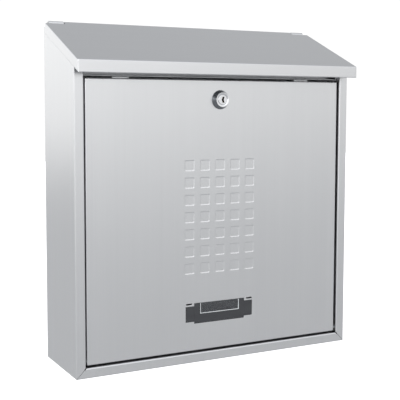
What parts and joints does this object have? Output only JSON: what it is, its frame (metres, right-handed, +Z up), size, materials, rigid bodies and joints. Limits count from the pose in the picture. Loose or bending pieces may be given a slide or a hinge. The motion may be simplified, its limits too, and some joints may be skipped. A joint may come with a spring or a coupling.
{
  "type": "wall mounted mailbox",
  "caption": "Folded stainless letterbox for a wall, with a sloped lift-up lid over the letter slot and a lockable drop-down front door.",
  "frame": {"origin": "centre of the four wall holes, on the back face that lies on the wall", "axes": "+X to the right seen from the front, +Y from the front to the wall, +Z up"},
  "size_m": [0.3628, 0.1173, 0.397],
  "materials": {
    "stainless_sheet": "satin, fine upright grain",
    "steel_rod": "drawn, bright",
    "chrome_zinc": "polished",
    "brass_wafers": "stamped",
    "zinc_plated_steel": "bright zinc plate",
    "smoked_plastic": "smooth moulded, smoke grey",
    "clear_cover": "clear acrylic strip",
    "clear_rubber": "soft translucent"
  },
  "bodies": {
    "casing": {"casing_shell": "stainless_sheet", "back_panel": "stainless_sheet", "top_rail": "stainless_sheet", "slot_plate": "stainless_sheet", "lid_hinge_rod": "steel_rod", "lid_bumpers": "clear_rubber", "door_hinge_pin_left": "steel_rod", "door_hinge_pin_right": "steel_rod"},
    "lid": {"lid": "stainless_sheet"},
    "door": {"door": "stainless_sheet", "lock_body": "chrome_zinc", "lock_washer": "zinc_plated_steel", "lock_nut": "zinc_plated_steel", "nameplate_holder": "smoked_plastic", "nameplate_cover": "clear_cover"},
    "lock_core": {"lock_plug": "chrome_zinc", "lock_wafers": "brass_wafers", "lock_cam": "zinc_plated_steel", "cam_washer": "zinc_plated_steel", "cam_screw": "zinc_plated_steel"}
  },
  "joints": [
    {"name": "lid_hinge", "type": "hinge", "parent": "casing", "child": "lid", "pos_m": [0, -0.00322, 0.20378], "axis": [-1, 0, 0], "range_deg": [0, 110]},
    {"name": "door_hinge", "type": "hinge", "parent": "casing", "child": "door", "pos_m": [0, -0.0929, -0.1724], "axis": [1, 0, 0], "range_deg": [0, 100]},
    {"name": "lock_turn", "type": "hinge", "parent": "door", "child": "lock_core", "pos_m": [0, -0.09, 0.1166], "axis": [0, -1, 0], "range_deg": [0, 90]}
  ]
}
